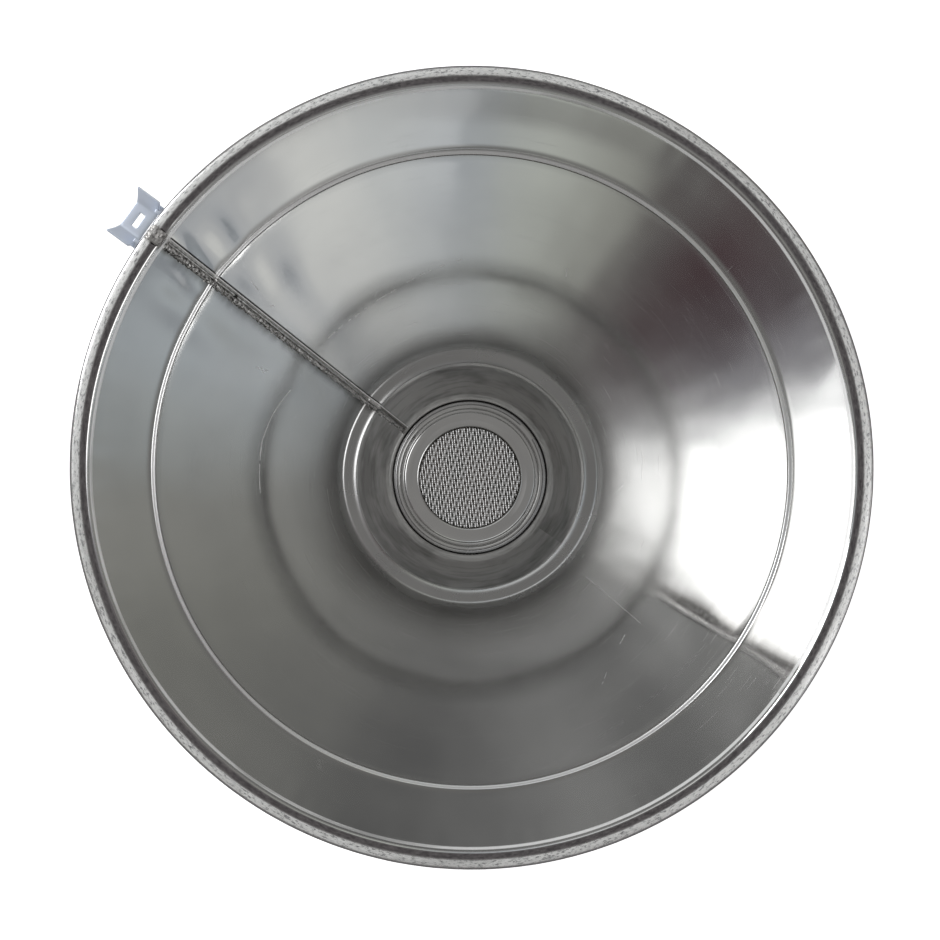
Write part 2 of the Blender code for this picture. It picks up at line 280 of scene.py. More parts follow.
def wall_shift(angle, radius, height):
    """Moves a point of the wall: the peak at the seam, the slight oval, and long waves."""
    away = from_seam(angle)
    low = min(max((height - SHOULDER[1]) / (RIM_TOP - SHOULDER[1]), 0), 1)
    loose = 0.25 + 0.75 * sin(pi * min(low * 1.05, 1)) ** 0.8
    peak = SEAM_PEAK * exp(-abs(away) / SEAM_PEAK_SPREAD)
    oval = OVAL * cos(2 * angle - 0.7) + 0.6 * OVAL * cos(3 * angle + 1.1)
    place = Vector((cos(angle) * 2.9, sin(angle) * 2.9, height * 12))
    wave = WAVE * noise.noise(place) + 0.25 * WAVE * noise.noise(place * 3.5)
    if abs(away) < radians(24):
        for dent_degrees, dent_height, depth, size in DENTS:
            across = (away - radians(dent_degrees)) * radius / MM
            up = (height / MM - dent_height) * 0.6 + across * 0.35
            wave += 0.75 * depth * MM * exp(-(across ** 2 + up ** 2) / (1.3 * size) ** 2)
    return radius + loose * (peak + oval) + wave, height


def funnel_shift(angle, radius, height):
    """The wall's unevenness, which dies out towards the rim. At the seam the rolled rim is pinched."""
    near_rim = min(max((height - (WALL_TOP[1] - 12 * MM)) / (9 * MM), 0), 1)
    uneven, _ = wall_shift(angle, radius, height)
    away = from_seam(angle) * RIM_RADIUS
    pinch = 0.7 * MM * exp(-(away / (3.0 * MM)) ** 2) * near_rim
    dent = 0.06 * MM * noise.noise(Vector((cos(angle) * 25, sin(angle) * 25, 0))) * near_rim
    return uneven * (1 - near_rim) + radius * near_rim, height - pinch + dent


# Materials


class Nodes:
    """A short way to build a material's nodes."""

    def __init__(self, name):
        self.material = bpy.data.materials.new(name)
        self.material.use_nodes = True
        self.tree = self.material.node_tree
        self.shader = self.tree.nodes["Principled BSDF"]

    def add(self, kind, **settings):
        node = self.tree.nodes.new(kind)
        for key, value in settings.items():
            setattr(node, key, value)
        return node

    def link(self, source, target):
        self.tree.links.new(source, target)

    def math(self, operation, first, second=0.0, clamp=False):
        node = self.add("ShaderNodeMath", operation=operation, use_clamp=clamp)
        for socket, value in zip(node.inputs, (first, second)):
            if isinstance(value, (int, float)):
                socket.default_value = value
            else:
                self.link(value, socket)
        return node.outputs[0]

    def place(self):
        """The piece's own coordinates, measured from the funnel's axis."""
        coordinates = self.add("ShaderNodeTexCoord")
        move = self.add("ShaderNodeMapping")
        move.inputs["Location"].default_value = (-AXIS_X, -AXIS_Y, 0)
        self.link(coordinates.outputs["Object"], move.inputs["Vector"])
        return move.outputs["Vector"]

    def stretched(self, vector, scale, rotation=(0, 0, 0)):
        move = self.add("ShaderNodeMapping")
        move.inputs["Scale"].default_value = scale
        move.inputs["Rotation"].default_value = rotation
        self.link(vector, move.inputs["Vector"])
        return move.outputs["Vector"]

    def noise(self, vector, scale, detail=3.0, roughness=0.5):
        node = self.add("ShaderNodeTexNoise")
        node.inputs["Scale"].default_value = scale
        node.inputs["Detail"].default_value = detail
        node.inputs["Roughness"].default_value = roughness
        self.link(vector, node.inputs["Vector"])
        return node.outputs["Fac"]

    def steps(self, value, low, high, new_low=0.0, new_high=1.0):
        node = self.add("ShaderNodeMapRange", interpolation_type="SMOOTHSTEP")
        node.inputs["From Min"].default_value = low
        node.inputs["From Max"].default_value = high
        node.inputs["To Min"].default_value = new_low
        node.inputs["To Max"].default_value = new_high
        self.link(value, node.inputs["Value"])
        return node.outputs["Result"]

    def ramp(self, value, stops):
        node = self.add("ShaderNodeValToRGB")
        ramp = node.color_ramp
        while len(ramp.elements) < len(stops):
            ramp.elements.new(0.5)
        for element, (place, colour) in zip(ramp.elements, stops):
            element.position = place
            element.color = (*colour, 1)
        self.link(value, node.inputs["Fac"])
        return node.outputs["Color"]

    def bump(self, height, strength, distance, before=None):
        node = self.add("ShaderNodeBump")
        node.inputs["Strength"].default_value = strength
        node.inputs["Distance"].default_value = distance
        self.link(height, node.inputs["Height"])
        if before:
            self.link(before, node.inputs["Normal"])
        return node.outputs["Normal"]

    def polar(self, vector):
        """Angle times radius, radius and height as one vector, for marks that run round."""
        parts = self.add("ShaderNodeSeparateXYZ")
        self.link(vector, parts.inputs[0])
        x, y, z = parts.outputs
        angle = self.math("ARCTAN2", y, x)
        radius = self.math("SQRT", self.math("ADD", self.math("MULTIPLY", x, x), self.math("MULTIPLY", y, y)))
        joined = self.add("ShaderNodeCombineXYZ")
        self.link(angle, joined.inputs[0])
        self.link(radius, joined.inputs[1])
        self.link(z, joined.inputs[2])
        return joined.outputs[0]


def scratches(nodes, place, scale, tilt, rarity):
    """Thin straight marks in one direction, as a mask."""
    lines = nodes.noise(nodes.stretched(place, scale, tilt), 1.0, 1.0)
    return nodes.steps(lines, rarity, rarity + 0.03)


def steel(name, light, dark, smooth, rough, wave=0.25, scratch=0.3, metal=1.0, worn=None):
    """Sheet steel: cloudy roughness, hairline marks round and across, and a faint waviness."""
    nodes = Nodes(name)
    place = nodes.place()
    round_way = nodes.polar(place)
    cloud = nodes.noise(place, 22.0, 4.0)
    fine = nodes.noise(place, 900.0, 2.0)
    turned_marks = scratches(nodes, round_way, (3, 5200, 5200), (0, 0, 0), 0.74)
    cross_marks = scratches(nodes, place, (2600, 60, 60), (0.3, 0.2, 0.9), 0.80)
    marks = nodes.math("MAXIMUM", turned_marks, cross_marks)
    colour = nodes.ramp(cloud, [(0.3, dark), (0.7, light)])
    nodes.shader.inputs["Metallic"].default_value = metal
    base = nodes.steps(cloud, 0.3, 0.75, smooth, rough)
    grain = nodes.math("MULTIPLY", fine, 0.015)
    scratched = nodes.math("MULTIPLY", marks, scratch * 0.5)
    total = nodes.math("ADD", nodes.math("ADD", base, grain), scratched, clamp=True)
    height = nodes.noise(place, 16.0, 2.0)
    normal = nodes.bump(height, wave, 0.4 * MM)
    normal = nodes.bump(marks, scratch, 0.01 * MM, normal)
    if worn:
        colour, total, normal = worn(nodes, round_way, colour, total, normal)
    nodes.link(colour, nodes.shader.inputs["Base Color"])
    nodes.link(total, nodes.shader.inputs["Roughness"])
    nodes.link(normal, nodes.shader.inputs["Normal"])
    return nodes.material


def blend(nodes, mask, first, second):
    """One value where the mask is 0 and the other where it is 1."""
    node = nodes.add("ShaderNodeMix", data_type="FLOAT")
    nodes.link(mask, node.inputs["Factor"])
    for socket, value in (("A", first), ("B", second)):
        if isinstance(value, (int, float)):
            node.inputs[socket].default_value = value
        else:
            nodes.link(value, node.inputs[socket])
    return node.outputs["Result"]


def blend_colours(nodes, mask, first, second):
    node = nodes.add("ShaderNodeMix", data_type="RGBA")
    nodes.link(mask, node.inputs["Factor"])
    nodes.link(first, node.inputs["A"])
    nodes.link(second, node.inputs["B"])
    return node.outputs["Result"]


def multiply_colours(nodes, first, second):
    node = nodes.add("ShaderNodeMix", data_type="RGBA", blend_type="MULTIPLY")
    node.inputs["Factor"].default_value = 1.0
    nodes.link(first, node.inputs["A"])
    nodes.link(second, node.inputs["B"])
    return node.outputs["Result"]


def between(nodes, value, low, high, soft):
    """A mask that is 1 between two values, with soft ends."""
    rise = nodes.steps(value, low - soft, low + soft)
    fall = nodes.steps(value, high - soft, high + soft, 1.0, 0.0)
    return nodes.math("MULTIPLY", rise, fall)


def wall_wear_and_shade(nodes, round_way, colour, rough, normal):
    """Wear and painted shade of the funnel's wall: a scuffed rim, a worn ridge, painted shade that darkens the wall
    towards its foot, a soft band of painted shade beside the weld, and a near-black line of painted shade along the
    lapped strip's outer edge.
    """
    parts = nodes.add("ShaderNodeSeparateXYZ")
    nodes.link(round_way, parts.inputs[0])
    angle, radius, height = parts.outputs
    speckle = nodes.noise(nodes.stretched(round_way, (75, 1500, 1500)), 1.0, 5.0, 0.75)
    patches = nodes.noise(nodes.stretched(round_way, (3, 300, 300)), 1.0, 2.0)
    on_rim = nodes.steps(height, 190.2 * MM, 191.2 * MM)
    tarnished = between(nodes, radius, 143.2 * MM, 145.4 * MM, 0.5 * MM)
    tarnished = nodes.math("MULTIPLY", tarnished, on_rim)
    scuffed = between(nodes, radius, 145.6 * MM, 148.4 * MM, 0.5 * MM)
    scuffed = nodes.math("MULTIPLY", scuffed, on_rim)
    scuffed = nodes.math("MULTIPLY", scuffed, nodes.steps(patches, 0.30, 0.60, 0.7, 1.0))
    outer_side = nodes.math("MULTIPLY", nodes.steps(radius, 148.6 * MM, 148.9 * MM), on_rim)
    edge = between(nodes, radius, 141.75 * MM, 142.35 * MM, 0.12 * MM)
    edge = nodes.math("MULTIPLY", edge, nodes.steps(height, 188.6 * MM, 189.2 * MM))
    edge = nodes.math("MULTIPLY", edge, nodes.steps(patches, 0.30, 0.50, 0.5, 1.0))
    ridge = between(nodes, height, RIDGE[1] + 0.1 * MM, RIDGE[1] + 1.0 * MM, 0.25 * MM)
    low_wall = nodes.steps(height, 0.078, 0.128, 1.0, 0.0)
    foot = nodes.steps(height, 0.059, 0.069, 1.0, 0.0)
    rough = nodes.math("ADD", rough, nodes.math("MULTIPLY", low_wall, 0.13))
    rough = nodes.math("ADD", rough, nodes.math("MULTIPLY", foot, 0.08))
    rough = blend(nodes, scuffed, rough, nodes.steps(speckle, 0.35, 0.65, 0.40, 0.60))
    rough = blend(nodes, ridge, rough, 0.36)
    across = nodes.math("MULTIPLY", angle, radius)
    uneven = nodes.math("ADD", across, nodes.math("MULTIPLY", patches, 3 * MM))
    # Painted shade: a soft band of the wall beside the weld is darkened to about a third, in neutral grey.
    weld_side = between(nodes, uneven, 0.5 * MM, 5.0 * MM, 3.0 * MM)
    # Painted shade: a near-black line on the wall along the lapped strip's outer edge, below the rim.
    crevice_shade = between(nodes, across, -3.0 * MM, -2.45 * MM, 0.06 * MM)
    crevice_shade = nodes.math("MULTIPLY", crevice_shade, nodes.steps(height, 189.0 * MM, 190.0 * MM, 1.0, 0.0))
    crevice_shade_tone = nodes.ramp(crevice_shade, [(0.0, (1.0, 1.0, 1.0)), (1.0, (0.05, 0.05, 0.05))])
    # Painted shade: the wall's colour is darkened towards its foot, deep in the funnel where less light reaches.
    foot_shade_tone = nodes.ramp(foot, [(0.0, (1.0, 1.0, 1.0)), (1.0, (0.72, 0.72, 0.72))])
    weld_shade_tone = nodes.ramp(weld_side, [(0.0, (1.0, 1.0, 1.0)), (1.0, (0.34, 0.33, 0.32))])
    colour = multiply_colours(nodes, multiply_colours(nodes, colour, foot_shade_tone), weld_shade_tone)
    colour = multiply_colours(nodes, colour, crevice_shade_tone)
    dark = nodes.ramp(speckle, [(0.36, (0.16, 0.15, 0.16)), (0.62, (0.40, 0.38, 0.39))])
    colour = blend_colours(nodes, nodes.math("MAXIMUM", tarnished, outer_side), colour, dark)
    tones = nodes.ramp(speckle, [(0.38, (0.20, 0.20, 0.21)), (0.47, (0.80, 0.80, 0.79)), (0.62, (0.95, 0.95, 0.94))])
    colour = blend_colours(nodes, scuffed, colour, tones)
    bright = nodes.ramp(speckle, [(0.2, (0.86, 0.86, 0.86)), (0.8, (0.97, 0.97, 0.97))])
    colour = blend_colours(nodes, nodes.math("MAXIMUM", ridge, edge), colour, bright)
    matte = nodes.math("MAXIMUM", nodes.math("MULTIPLY", scuffed, 0.75), nodes.math("MULTIPLY", edge, 0.85))
    nodes.link(nodes.math("SUBTRACT", 1.0, matte), nodes.shader.inputs["Metallic"])
    normal = nodes.bump(nodes.math("MULTIPLY", speckle, scuffed), 0.35, 0.08 * MM, normal)
    return colour, rough, normal


def seam_wear_and_painted_light(nodes, round_way, colour, rough, normal):
    """The lapped edge: a near-black line of painted shade in its outer corner, a rib beside it that is worn and painted
    bright as a highlight, a black spot of painted shade for a pit, and a dull middle.
    """
    parts = nodes.add("ShaderNodeSeparateXYZ")
    nodes.link(round_way, parts.inputs[0])
    angle, radius, height = parts.outputs
    across = nodes.math("MULTIPLY", angle, radius)
    grime_and_shade_noise = nodes.noise(nodes.stretched(round_way, (400, 700, 700)), 1.0, 4.0)
    # Painted shade: a near-black line on the strip's outer edge, where it meets the wall.
    corner = nodes.steps(across, -2.42 * MM, -2.36 * MM, 1.0, 0.0)
    # Partly wear, partly painted highlight: the outer rib is made bright and matte.
    rib_wear_and_highlight = between(nodes, across, -2.34 * MM, -1.80 * MM, 0.08 * MM)
    middle = nodes.steps(across, -1.60 * MM, -1.40 * MM)
    # Painted shade: a black spot on the strip that stands for a pit; the mesh has no pit there.
    near_pit = between(nodes, across, -1.3 * MM, 0.2 * MM, 0.25 * MM)
    pit_shade = nodes.math("MULTIPLY", near_pit, between(nodes, height, 153.0 * MM, 154.6 * MM, 0.3 * MM))
    dull = nodes.ramp(grime_and_shade_noise, [(0.36, (0.22, 0.215, 0.21)), (0.50, (0.55, 0.54, 0.53)), (0.64, (0.90, 0.89, 0.88))])
    # Near-black colour of the painted shade in the corner and at the pit.
    black = nodes.ramp(grime_and_shade_noise, [(0.2, (0.01, 0.01, 0.01)), (0.8, (0.05, 0.045, 0.04))])
    # Bright colour of the rib: wear and a painted highlight.
    worn = nodes.ramp(grime_and_shade_noise, [(0.3, (0.70, 0.70, 0.69)), (0.5, (0.97, 0.97, 0.97))])
    colour = blend_colours(nodes, middle, colour, dull)
    colour = blend_colours(nodes, rib_wear_and_highlight, colour, worn)
    colour = blend_colours(nodes, nodes.math("MAXIMUM", corner, pit_shade), colour, black)
    rough = blend(nodes, rib_wear_and_highlight, rough, 0.40)
    nodes.link(nodes.math("SUBTRACT", 1.0, nodes.math("MULTIPLY", rib_wear_and_highlight, 0.75)), nodes.shader.inputs["Metallic"])
    normal = nodes.bump(grime_and_shade_noise, 0.5, 0.06 * MM, normal)
    return colour, rough, normal


def weld_metal(name, relief, tones):
    """Rough weld or solder: dark in its hollows, pitted, with bright worn tops."""
    nodes = Nodes(name)
    place = nodes.place()
    lumps = nodes.noise(place, 1300.0, 5.0, 0.7)
    pits = nodes.noise(place, 3200.0, 3.0, 0.7)
    nodes.link(nodes.ramp(lumps, tones), nodes.shader.inputs["Base Color"])
    nodes.shader.inputs["Metallic"].default_value = 0.6
    nodes.link(nodes.steps(lumps, 0.35, 0.65, 0.55, 0.22), nodes.shader.inputs["Roughness"])
    coarse = nodes.bump(lumps, relief, 0.35 * MM)
    nodes.link(nodes.bump(pits, relief * 0.6, 0.1 * MM, coarse), nodes.shader.inputs["Normal"])
    return nodes.material


def shaded(colour, share):
    return tuple(part * share for part in colour)


def wire_metal(name, share):
    """Drawn wire: warm and greenish grey in soft blotches, with lengthwise tarnish."""
    nodes = Nodes(name)
    place = nodes.place()
    blotch = nodes.noise(place, 55.0, 1.0)
    tarnish = nodes.noise(place, 240.0, 3.0)
    fine = nodes.noise(place, 1500.0, 2.0)
    warm = nodes.ramp(tarnish, [(0.3, shaded((0.22, 0.195, 0.18), share)), (0.7, shaded((0.32, 0.295, 0.275), share))])
    cool = nodes.ramp(tarnish, [(0.3, shaded((0.155, 0.16, 0.145), share)), (0.7, shaded((0.25, 0.255, 0.235), share))])
    colour = blend_colours(nodes, nodes.steps(blotch, 0.40, 0.60), warm, cool)
    nodes.link(colour, nodes.shader.inputs["Base Color"])
    nodes.shader.inputs["Metallic"].default_value = 1.0
    nodes.link(nodes.steps(fine, 0.3, 0.7, 0.42, 0.60), nodes.shader.inputs["Roughness"])
    nodes.link(nodes.bump(fine, 0.3, 0.02 * MM), nodes.shader.inputs["Normal"])
    return nodes.material


def neck_stains(nodes, round_way, colour, rough, normal):
    """Water stains: soft light and dark patches, and duller streaks that run round."""
    stains = nodes.noise(nodes.stretched(round_way, (1.6, 60, 60)), 1.0, 3.0, 0.6)
    streaks = nodes.noise(nodes.stretched(round_way, (2.5, 420, 420)), 1.0, 3.0, 0.6)
    tone = nodes.ramp(stains, [(0.36, (0.66, 0.66, 0.66)), (0.50, (0.95, 0.95, 0.95)), (0.62, (1.0, 1.0, 1.0))])
    streak_tone = nodes.ramp(streaks, [(0.36, (0.80, 0.80, 0.80)), (0.50, (1.0, 1.0, 1.0))])
    colour = multiply_colours(nodes, multiply_colours(nodes, colour, tone), streak_tone)
    rough = nodes.math("ADD", rough, nodes.steps(streaks, 0.55, 0.70, 0.0, 0.10))
    return colour, rough, normal


POLISHED = steel("polished_steel", (0.74, 0.74, 0.73), (0.66, 0.66, 0.655), 0.06, 0.13)
WALL = steel("wall_steel", (0.74, 0.74, 0.73), (0.66, 0.66, 0.655), 0.03, 0.085, worn=wall_wear_and_shade)
SEAM = steel("seam_steel", (0.80, 0.80, 0.79), (0.66, 0.66, 0.65), 0.10, 0.20, worn=seam_wear_and_painted_light)
NECK = steel("neck_steel", (1.0, 1.0, 0.99), (0.95, 0.95, 0.94), 0.02, 0.06, wave=0.7, metal=0.65, worn=neck_stains)
PLATE = steel("plate_steel", (0.86, 0.92, 1.0), (0.78, 0.85, 1.0), 0.26, 0.38, metal=0.5)
SATIN = steel("satin_steel", (0.66, 0.66, 0.65), (0.56, 0.56, 0.55), 0.20, 0.32)
SPRING = steel("spring_steel", (0.62, 0.62, 0.62), (0.50, 0.50, 0.51), 0.12, 0.24)
BURR = steel("burr_steel", (1.0, 1.0, 1.0), (0.92, 0.92, 0.92), 0.30, 0.45, metal=0.3)
WELD = weld_metal("weld_metal", 0.9, [(0.41, (0.02, 0.02, 0.02)), (0.51, (0.30, 0.295, 0.285)), (0.58, (1.0, 0.99, 0.97))])
SOLDER = weld_metal("solder_metal", 0.35, [(0.36, (0.14, 0.13, 0.13)), (0.50, (0.34, 0.33, 0.32)), (0.66, (0.66, 0.65, 0.63))])
WOVEN = wire_metal("woven_wire", 0.85)
# The fine cloth's copy of the wire is 2.4 times lighter than the coarse cloth's: painted light that lifts it out of the
# shade it lies in under the coarse sieve.
FINE_WOVEN_LIGHTENED = wire_metal("fine_woven_wire_lightened", 2.4)


def finish_piece(piece, body, material, slot, *nodes):
    """Gives a new piece its material, says what it rides on, and hides the CAD parts it stands for."""
    piece.data.materials.append(material)
    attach(piece, body)
    if nodes:
        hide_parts(*nodes)
    return piece


# The funnel


def ridge_points(steps=14):
    points = []
    for i in range(steps + 1):
        along = (i / steps - 0.5) * RIDGE_WIDTH
        rise = RIDGE_RISE * cos(pi * along / RIDGE_WIDTH) ** 2
        radius = RIDGE[0] - along * cos(BAND_SLOPE) - rise * sin(BAND_SLOPE)
        height = RIDGE[1] - along * sin(BAND_SLOPE) + rise * cos(BAND_SLOPE)
        points.append((radius, height))
    return points


def rim_roll():
    """The middle of the rolled rim's sheet, from its tucked-in edge over the crown to the wall."""
    outer, crown, inner = 2.1 * MM, 10.0 * MM, 0.8 * MM
    outer_middle = (RIM_RADIUS - SHEET / 2 - outer, ROLL_CROWN - SHEET / 2 - outer)
    crown_middle = (outer_middle[0] - (crown - outer) * sin(radians(10)), ROLL_CROWN - SHEET / 2 - crown)
    rise = (crown - outer) * (1 - cos(radians(10)))
    outer_middle = (outer_middle[0], outer_middle[1] - rise)
    edge_middle = (
        crown_middle[0] + (crown - inner) * cos(radians(105)),
        crown_middle[1] + (crown - inner) * sin(radians(105)),
    )
    tucked = arc((outer_middle[0] - 1.2 * MM, outer_middle[1]), outer, radians(-150), radians(-90), 8)
    outside = arc(outer_middle, outer, radians(-90), radians(80), 18)
    top = arc(crown_middle, crown, radians(80), radians(105), 8)
    edge = arc(edge_middle, inner, radians(105), pi - radians(28), 8)
    return [*tucked, *outside, *top[1:], *edge[1:]]


def funnel_wall():
    roll = rim_roll()
    shoulder = fillet(RIDGE, SHOULDER, LEDGE_END, 2.6 * MM, 8)
    inner_face = [*ridge_points(), *shoulder, LEDGE_END]
    wall = offset(inner_face, -SHEET / 2)
    path = roll + divided([roll[-1], *wall], 4 * MM)[1:]
    loop = sheet_loop(path, SHEET)
    piece = turned("funnel_wall", loop, turns_with_seam(380), funnel_shift, 70)
    finish_piece(piece, "funnel", WALL, "polished_steel", "funnel_cone")


def rim_core():
    loop = arc((ROLL[0] + 0.2 * MM, ROLL_CROWN - 4.3 * MM), 2.2 * MM, pi, -pi, 20)[:-1]
    finish_piece(turned("rim_core", loop, even_turns(240)), "funnel", SATIN, "satin_steel", "rim_wire")


def neck_wall():
    under_ledge = offset([SHOULDER, LEDGE_END], -(SHEET + 0.1 * MM))
    flange_end = Vector(under_ledge[0]).lerp(Vector(under_ledge[1]), 0.3)
    corner = (NECK_TOP[0] + 0.6 * MM, NECK_TOP[1] + 0.9 * MM)
    bend = fillet(tuple(flange_end), corner, NECK_BOTTOM, 0.8 * MM, 8)
    inner_face = divided([tuple(flange_end), *bend, NECK_BOTTOM], 3 * MM)
    loop = sheet_loop(offset(inner_face, -SHEET / 2), SHEET)
    piece = turned("neck_wall", loop, even_turns(420))
    finish_piece(piece, "funnel", NECK, "polished_steel", "neck_cone")


def seat_cup():
    radius, floor = 44.3 * MM, 18.0 * MM
    top = (radius, 28.0 * MM)
    edge = (37.5 * MM, floor)
    path = [top, *fillet(top, (radius, floor), edge, 0.9 * MM, 6), edge]
    piece = turned("seat_cup", sheet_loop(path, SHEET), even_turns(240))
    finish_piece(piece, "funnel", POLISHED, "polished_steel", "sieve_seat")


def outlet_pipe():
    radius = 40.4 * MM
    top = (radius, 17.55 * MM)
    foot = (44.0 * MM, SHEET / 2)
    path = [top, *fillet(top, (radius, SHEET / 2), foot, 1.2 * MM, 6), foot]
    piece = turned("outlet_pipe", sheet_loop(path, SHEET), even_turns(240))
    finish_piece(piece, "funnel", SATIN, "satin_steel", "outlet_spigot")


# The sieves


def coarse_frame():
    bead = arc((38.0 * MM, COARSE_FLANGE + 2.0 * MM), 0.8 * MM, 0, pi, 10)
    lip = COARSE_FLANGE - 1.6 * MM
    path = [
        (SIEVE_RADIUS, COARSE_FLANGE + 0.8 * MM),
        (39.9 * MM, COARSE_FLANGE + 0.7 * MM),
        (39.2 * MM, COARSE_FLANGE - 0.2 * MM),
        (38.85 * MM, COARSE_FLANGE + 0.4 * MM),
        *bead,
        (36.9 * MM, COARSE_FLANGE + 1.75 * MM),
        (36.2 * MM, COARSE_FLANGE + 1.55 * MM),
        (33.1 * MM, COARSE_FLANGE + 1.20 * MM),
        (32.3 * MM, COARSE_FLANGE + 1.20 * MM),
        (30.4 * MM, COARSE_FLANGE + 1.75 * MM),
        (29.6 * MM, COARSE_FLANGE + 1.65 * MM),
        (MESH_OPENING, COARSE_FLANGE + 1.1 * MM),
        (MESH_OPENING, lip),
    ]
    piece = turned("coarse_frame", sheet_loop(path, SIEVE_SHEET), even_turns(300), None, 60)
    finish_piece(piece, "coarse_sieve", POLISHED, "polished_steel", "coarse_sieve_frame")


def fine_frame():
    lip = FINE_FLANGE - 3.9 * MM
    path = [
        (SIEVE_RADIUS, FINE_FLANGE),
        (37.1 * MM, FINE_FLANGE),
        (35.9 * MM, FINE_FLANGE - 0.8 * MM),
        (32.6 * MM, lip + 0.3 * MM),
        (MESH_OPENING, lip),
    ]
    piece = turned("fine_frame", sheet_loop(path, SIEVE_SHEET), even_turns(240), None, 60)
    finish_piece(piece, "fine_sieve", SATIN, "satin_steel", "fine_sieve_frame")


def ring_like(name, node, body, material, slot):
    """A flat ring with rounded edges, where the CAD ring is."""
    low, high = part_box(node)
    outer = high[0] - AXIS_X
    inner = outer - (2.4 * MM if node == "spacer_ring" else 2.8 * MM)
    corners = [(outer, high[2]), (outer, low[2]), (inner, low[2]), (inner, high[2])]
    loop = rounded_section(corners, 0.2 * MM)
    finish_piece(turned(name, loop, even_turns(240)), body, material, slot, node)


def spring():
    """The split ring of round wire, with slightly flattened ends."""
    low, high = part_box("spring_ring")
    height = (low[2] + high[2]) / 2
    radius = 42.3 * MM
    wire = 1.12 * MM
    sweep = 2 * pi - (SPRING_GAP[1] - SPRING_GAP[0])
    steps = 260
    points, radii = [], []
    for i in range(steps + 1):
        angle = SPRING_GAP[1] + sweep * i / steps
        points.append((AXIS_X + radius * cos(angle), AXIS_Y + radius * sin(angle), height))
        end = min(i, steps - i)
        radii.append(wire * (1 if end > 1 else 0.86))
    piece = tube("spring", points, radii, 20)
    finish_piece(piece, "spring", SPRING, "spring_steel", "spring_ring")


def cloth(name, node, body, material, pitches, wires, turn):
    """Plain-woven wire cloth: two sets of crimped wires that pass over and under each other."""
    low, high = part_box(node)
    height = (low[2] + high[2]) / 2
    lean = 0.14 * MM
    points, faces = [], []
    for across in (0, 1):
        pitch, other_pitch = pitches[across], pitches[1 - across]
        count = int(MESH_RADIUS / pitch)
        for k in range(-count, count + 1):
            side = k * pitch
            halves = int((MESH_RADIUS ** 2 - side ** 2) ** 0.5 / other_pitch * 2)
            if halves < 1:
                continue
            line = []
            for i in range(-halves, halves + 1):
                along = i * other_pitch / 2
                lift = lean * cos(pi * i / 2 + pi * k + pi * across)
                x, y = (along, side) if across else (side, along)
                line.append((
                    AXIS_X + x * cos(turn) - y * sin(turn),
                    AXIS_Y + x * sin(turn) + y * cos(turn),
                    height + lift,
                ))
            made, more = tube_parts(line, [wires[across]] * len(line), 5, len(points))
            points.extend(made)
            faces.extend(more)
    piece = piece_from(name, points, faces, 80)
    finish_piece(piece, body, material, "woven_wire", node)


# The seam


def on_wall(path, across, lift):
    """Points above the inner face along a path, at a distance to the side of the seam."""
    raised = offset(path, lift)
    points = []
    for radius, height in raised:
        angle = across / radius
        radius, height = funnel_shift(angle, radius, height)
        points.append(Vector((AXIS_X + radius * cos(angle), AXIS_Y + radius * sin(angle), height)))
    return points


# The strip's outline, in mm across and above the wall: two rounded ribs with a groove between
STRIP_SECTION = [
    (0.05, -0.3), (0.02, 0.40), (-0.14, 0.66), (-0.45, 0.82), (-0.85, 0.84), (-1.20, 0.70),
    (-1.42, 0.42), (-1.55, 0.30), (-1.70, 0.34), (-1.85, 0.58), (-2.05, 0.74), (-2.30, 0.66),
    (-2.48, 0.40), (-2.52, -0.3),
]


def strip(name, path, node, thicker=1.0):
    """The lapped edge: a raised strip with a groove along it."""
    path = divided(path, 1.2 * MM)
    rails = [on_wall(path, across * MM, lift * thicker * MM) for across, lift in STRIP_SECTION]
    count = len(rails)
    points = [rails[j][i] for i in range(len(path)) for j in range(count)]
    faces = []
    for i in range(len(path) - 1):
        for j in range(count):
            k = (j + 1) % count
            faces.append((i * count + j, i * count + k, (i + 1) * count + k, (i + 1) * count + j))
    faces.append(tuple(reversed(range(count))))
    last = (len(path) - 1) * count
    faces.append(tuple(last + j for j in range(count)))
    finish_piece(piece_from(name, points, faces, 50), "funnel", SEAM, "polished_steel", node)


def ball_parts(centre, radius, first, squash=1.0):
    """A small round drop, as the points and faces of a sphere of few sides."""
    sides, rows = 8, 5
    made, faces = [centre + Vector((0, 0, radius * squash))], []
    for row in range(1, rows):
        polar = pi * row / rows
        for j in range(sides):
            angle = 2 * pi * j / sides
            spoke = Vector((cos(angle) * sin(polar), sin(angle) * sin(polar), cos(polar) * squash))
            made.append(centre + spoke * radius)
    made.append(centre - Vector((0, 0, radius * squash)))
    for j in range(sides):
        k = (j + 1) % sides
        faces.append((first, first + 1 + j, first + 1 + k))
        for row in range(rows - 2):
            a = first + 1 + row * sides
            faces.append((a + j, a + sides + j, a + sides + k, a + k))
        a = first + 1 + (rows - 2) * sides
        faces.append((a + j, first + len(made) - 1, a + k))
    return made, faces


